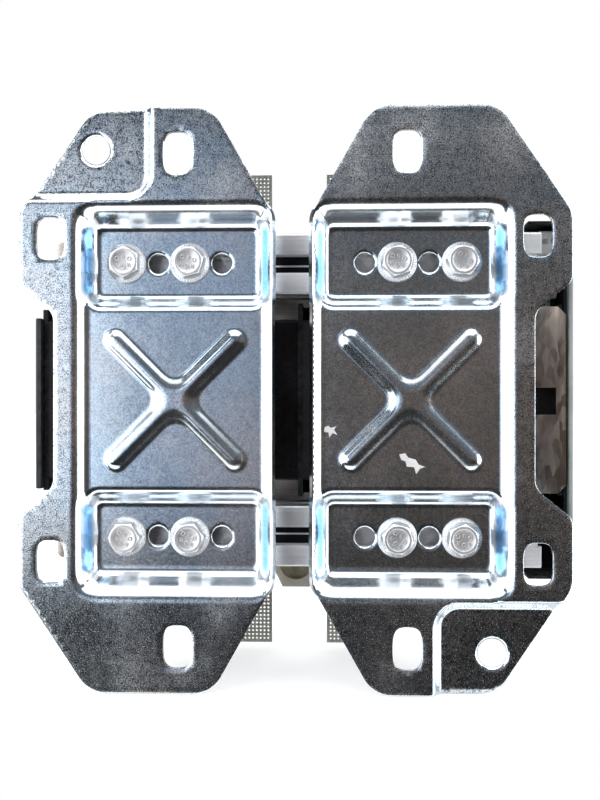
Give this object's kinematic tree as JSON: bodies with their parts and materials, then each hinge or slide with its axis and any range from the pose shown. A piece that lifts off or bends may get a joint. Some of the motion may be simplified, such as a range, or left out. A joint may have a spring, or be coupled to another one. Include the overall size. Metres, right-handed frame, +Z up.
{
  "type": "magnetic door lock",
  "caption": "Double magnetic door lock on slotted rails, with pressed mounting plates, control tray, armature plates and perforated leaf panels.",
  "frame": {"origin": "middle of the mounting face, level with the middle of the lock and half way between the two mounting plates", "axes": "+X along the lock to the control tray, +Y from the mounting face towards the door leaves, +Z up"},
  "size_m": [0.2471, 0.0875, 0.258],
  "materials": {
    "zinc_plate": "pressed steel, clear blue-white zinc plating",
    "bright_bolt": "bright zinc-plated flange bolts",
    "black_screw": "black oxide socket screws",
    "plain_steel": "bright turned steel",
    "rail_aluminium": "drawn, natural anodised",
    "tie_steel": "brown-grey bare steel strip",
    "black_sheet": "black powder coat",
    "black_housing": "black anodised",
    "laminated_steel": "ground laminations",
    "copper_winding": "enamelled copper wire",
    "potting_resin": "black epoxy",
    "side_grey": "grey-green paint",
    "galvanised_strap": "galvanised steel",
    "board_green": "solder-masked glass-fibre board",
    "white_plastic": "white nylon",
    "cream_plastic": "cream nylon",
    "relay_case": "dark relay case",
    "lead_sleeve": "pale insulation",
    "olive_cam": "yellow-passivated zinc",
    "ground_steel": "ground and nickel plated",
    "rubber": "soft black rubber",
    "perforated_sheet": "perforated sheet, olive-grey"
  },
  "bodies": {
    "chassis": {"board_standoffs": "plain_steel", "cam_boss": "cream_plastic", "centre_bracket": "black_sheet", "circuit_board": "board_green", "coil_connector": "cream_plastic", "coil_leads": "lead_sleeve", "control_tray": "black_sheet", "lead_clips": "white_plastic", "left_bracket": "black_sheet", "left_coil": "copper_winding", "left_coil_lead": "lead_sleeve", "left_end_cap": "black_sheet", "left_magnet_core": "laminated_steel", "left_magnet_housing": "black_housing", "left_potting": "potting_resin", "lower_rail": "rail_aluminium", "lower_tie_plate": "tie_steel", "relay": "relay_case", "right_bracket": "black_sheet", "right_coil": "copper_winding", "right_magnet_core": "laminated_steel", "right_magnet_housing": "black_housing", "right_potting": "potting_resin", "side_plate": "side_grey", "small_screws": "black_screw", "strap_bracket": "galvanised_strap", "terminal_block": "white_plastic", "tie_screws": "black_screw", "tie_slot_nuts": "plain_steel", "upper_rail": "rail_aluminium", "upper_tie_plate": "tie_steel", "wire_cover": "side_grey"},
    "left_plate": {"left_mounting_plate": "zinc_plate", "left_plate_bolts": "bright_bolt", "left_slot_nuts": "plain_steel"},
    "left_leaf": {"left_armature": "ground_steel", "left_armature_bolt": "black_screw", "left_rubber_washer": "rubber", "left_backing_bar": "tie_steel", "left_guide_pins": "plain_steel", "left_leaf_panel": "perforated_sheet", "left_barrel_nut": "plain_steel", "left_panel_screws": "plain_steel", "left_release_spring": "plain_steel"},
    "left_pin": {"left_release_pin": "plain_steel"},
    "right_plate": {"right_mounting_plate": "zinc_plate", "right_plate_bolts": "bright_bolt", "right_slot_nuts": "plain_steel"},
    "right_leaf": {"right_armature": "ground_steel", "right_armature_bolt": "black_screw", "right_rubber_washer": "rubber", "right_backing_bar": "tie_steel", "right_guide_pins": "plain_steel", "right_leaf_panel": "perforated_sheet", "right_barrel_nut": "plain_steel", "right_panel_screws": "plain_steel", "right_release_spring": "plain_steel"},
    "right_pin": {"right_release_pin": "plain_steel"},
    "cam": {"cam_stud": "olive_cam"}
  },
  "joints": [
    {"name": "left_plate_slide", "type": "slide", "parent": "chassis", "child": "left_plate", "axis": [1, 0, 0], "range_m": [-0.01, 0.006]},
    {"name": "left_leaf_slide", "type": "slide", "parent": "chassis", "child": "left_leaf", "axis": [0, 1, 0], "range_m": [0, 0.04]},
    {"name": "left_pin_slide", "type": "slide", "parent": "left_leaf", "child": "left_pin", "axis": [0, -1, 0], "range_m": [0, 0.003]},
    {"name": "right_plate_slide", "type": "slide", "parent": "chassis", "child": "right_plate", "axis": [1, 0, 0], "range_m": [-0.006, 0.01]},
    {"name": "right_leaf_slide", "type": "slide", "parent": "chassis", "child": "right_leaf", "axis": [0, 1, 0], "range_m": [0, 0.04]},
    {"name": "right_pin_slide", "type": "slide", "parent": "right_leaf", "child": "right_pin", "axis": [0, -1, 0], "range_m": [0, 0.003]},
    {"name": "cam_turn", "type": "hinge", "parent": "chassis", "child": "cam", "pos_m": [0, 0.0495, -0.078], "axis": [0, 1, 0], "range_deg": [-90, 90]}
  ],
  "couplings": [
    {"joint": "left_pin_slide", "follows": "left_leaf_slide", "ratio": 0.075},
    {"joint": "right_pin_slide", "follows": "right_leaf_slide", "ratio": 0.075}
  ]
}
